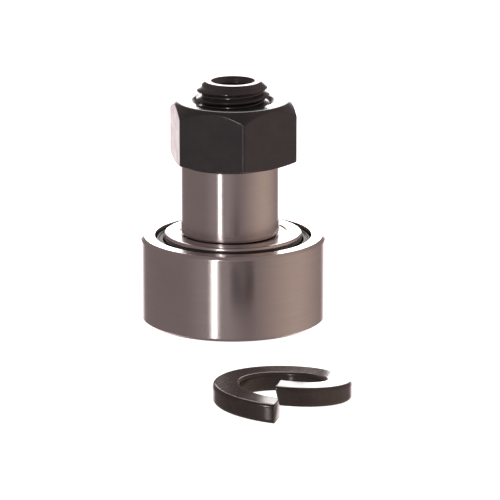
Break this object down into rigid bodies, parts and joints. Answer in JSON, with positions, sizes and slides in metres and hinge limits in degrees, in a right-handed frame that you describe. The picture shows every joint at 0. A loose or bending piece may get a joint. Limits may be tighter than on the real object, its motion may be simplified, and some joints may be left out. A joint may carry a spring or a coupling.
{
  "type": "cam follower",
  "caption": "Stud-type cam follower: caged needle roller on a threaded stud with eccentric collar, side plate, seals, hexagon nut and a loose spring lock washer.",
  "frame": {"origin": "on the stud's axis, in the outer face of the side plate, which the eccentric collar and the machine rest against", "axes": "+Z along the stud from the roller towards the threaded end; +X to the right and +Y away from a viewer who has the loose washer in front; the collar's axis is offset towards -X"},
  "size_m": [0.0331, 0.0714, 0.04],
  "materials": {
    "stud_black": "black oxide, turned and threaded",
    "nut_black": "black oxide, smooth",
    "washer_black": "oiled black spring steel, rolled section",
    "ground_steel": "fine ground bearing steel",
    "collar_steel": "ground steel sleeve",
    "needle_steel": "lapped bearing steel",
    "seal_rubber": "moulded nitrile rubber",
    "resin": "moulded dark resin"
  },
  "bodies": {
    "stud": {"stud": "stud_black", "side_plate": "ground_steel", "eccentric_collar": "collar_steel", "upper_thrust_washer": "resin", "lower_thrust_washer": "resin"},
    "roller": {"outer_ring": "ground_steel", "upper_seal": "seal_rubber", "lower_seal": "seal_rubber"},
    "cage": {"needle_cage": "resin"},
    "nut": {"hex_nut": "nut_black"},
    "washer": {"spring_washer": "washer_black"},
    "needle_01": {"needle_roller_01": "needle_steel"},
    "needle_02": {"needle_roller_02": "needle_steel"},
    "needle_03": {"needle_roller_03": "needle_steel"},
    "needle_04": {"needle_roller_04": "needle_steel"},
    "needle_05": {"needle_roller_05": "needle_steel"},
    "needle_06": {"needle_roller_06": "needle_steel"},
    "needle_07": {"needle_roller_07": "needle_steel"},
    "needle_08": {"needle_roller_08": "needle_steel"},
    "needle_09": {"needle_roller_09": "needle_steel"},
    "needle_10": {"needle_roller_10": "needle_steel"},
    "needle_11": {"needle_roller_11": "needle_steel"},
    "needle_12": {"needle_roller_12": "needle_steel"},
    "needle_13": {"needle_roller_13": "needle_steel"},
    "needle_14": {"needle_roller_14": "needle_steel"}
  },
  "joints": [
    {"name": "roller_spin", "type": "hinge", "parent": "stud", "child": "roller", "pos_m": [0, 0, -0.0075], "axis": [0, 0, 1], "continuous": true},
    {"name": "cage_spin", "type": "hinge", "parent": "stud", "child": "cage", "pos_m": [0, 0, -0.0075], "axis": [0, 0, 1], "continuous": true},
    {"name": "nut_travel", "type": "slide", "parent": "stud", "child": "nut", "axis": [0, 0, 1], "range_m": [0, 0.0135]},
    {"name": "washer_lift", "type": "slide", "parent": "stud", "child": "washer", "axis": [0, 0, 1], "range_m": [0, 0.045]},
    {"name": "needle_01_spin", "type": "hinge", "parent": "cage", "child": "needle_01", "pos_m": [0.00853, 0.00195, -0.0075], "axis": [0, 0, 1], "continuous": true},
    {"name": "needle_02_spin", "type": "hinge", "parent": "cage", "child": "needle_02", "pos_m": [0.00684, 0.00546, -0.0075], "axis": [0, 0, 1], "continuous": true},
    {"name": "needle_03_spin", "type": "hinge", "parent": "cage", "child": "needle_03", "pos_m": [0.0038, 0.00788, -0.0075], "axis": [0, 0, 1], "continuous": true},
    {"name": "needle_04_spin", "type": "hinge", "parent": "cage", "child": "needle_04", "pos_m": [0, 0.00875, -0.0075], "axis": [0, 0, 1], "continuous": true},
    {"name": "needle_05_spin", "type": "hinge", "parent": "cage", "child": "needle_05", "pos_m": [-0.0038, 0.00788, -0.0075], "axis": [0, 0, 1], "continuous": true},
    {"name": "needle_06_spin", "type": "hinge", "parent": "cage", "child": "needle_06", "pos_m": [-0.00684, 0.00546, -0.0075], "axis": [0, 0, 1], "continuous": true},
    {"name": "needle_07_spin", "type": "hinge", "parent": "cage", "child": "needle_07", "pos_m": [-0.00853, 0.00195, -0.0075], "axis": [0, 0, 1], "continuous": true},
    {"name": "needle_08_spin", "type": "hinge", "parent": "cage", "child": "needle_08", "pos_m": [-0.00853, -0.00195, -0.0075], "axis": [0, 0, 1], "continuous": true},
    {"name": "needle_09_spin", "type": "hinge", "parent": "cage", "child": "needle_09", "pos_m": [-0.00684, -0.00546, -0.0075], "axis": [0, 0, 1], "continuous": true},
    {"name": "needle_10_spin", "type": "hinge", "parent": "cage", "child": "needle_10", "pos_m": [-0.0038, -0.00788, -0.0075], "axis": [0, 0, 1], "continuous": true},
    {"name": "needle_11_spin", "type": "hinge", "parent": "cage", "child": "needle_11", "pos_m": [0, -0.00875, -0.0075], "axis": [0, 0, 1], "continuous": true},
    {"name": "needle_12_spin", "type": "hinge", "parent": "cage", "child": "needle_12", "pos_m": [0.0038, -0.00788, -0.0075], "axis": [0, 0, 1], "continuous": true},
    {"name": "needle_13_spin", "type": "hinge", "parent": "cage", "child": "needle_13", "pos_m": [0.00684, -0.00546, -0.0075], "axis": [0, 0, 1], "continuous": true},
    {"name": "needle_14_spin", "type": "hinge", "parent": "cage", "child": "needle_14", "pos_m": [0.00853, -0.00195, -0.0075], "axis": [0, 0, 1], "continuous": true}
  ],
  "couplings": [
    {"joint": "cage_spin", "follows": "roller_spin", "ratio": 0.57143},
    {"joint": "needle_01_spin", "follows": "roller_spin", "ratio": 3.4286},
    {"joint": "needle_02_spin", "follows": "roller_spin", "ratio": 3.4286},
    {"joint": "needle_03_spin", "follows": "roller_spin", "ratio": 3.4286},
    {"joint": "needle_04_spin", "follows": "roller_spin", "ratio": 3.4286},
    {"joint": "needle_05_spin", "follows": "roller_spin", "ratio": 3.4286},
    {"joint": "needle_06_spin", "follows": "roller_spin", "ratio": 3.4286},
    {"joint": "needle_07_spin", "follows": "roller_spin", "ratio": 3.4286},
    {"joint": "needle_08_spin", "follows": "roller_spin", "ratio": 3.4286},
    {"joint": "needle_09_spin", "follows": "roller_spin", "ratio": 3.4286},
    {"joint": "needle_10_spin", "follows": "roller_spin", "ratio": 3.4286},
    {"joint": "needle_11_spin", "follows": "roller_spin", "ratio": 3.4286},
    {"joint": "needle_12_spin", "follows": "roller_spin", "ratio": 3.4286},
    {"joint": "needle_13_spin", "follows": "roller_spin", "ratio": 3.4286},
    {"joint": "needle_14_spin", "follows": "roller_spin", "ratio": 3.4286}
  ]
}
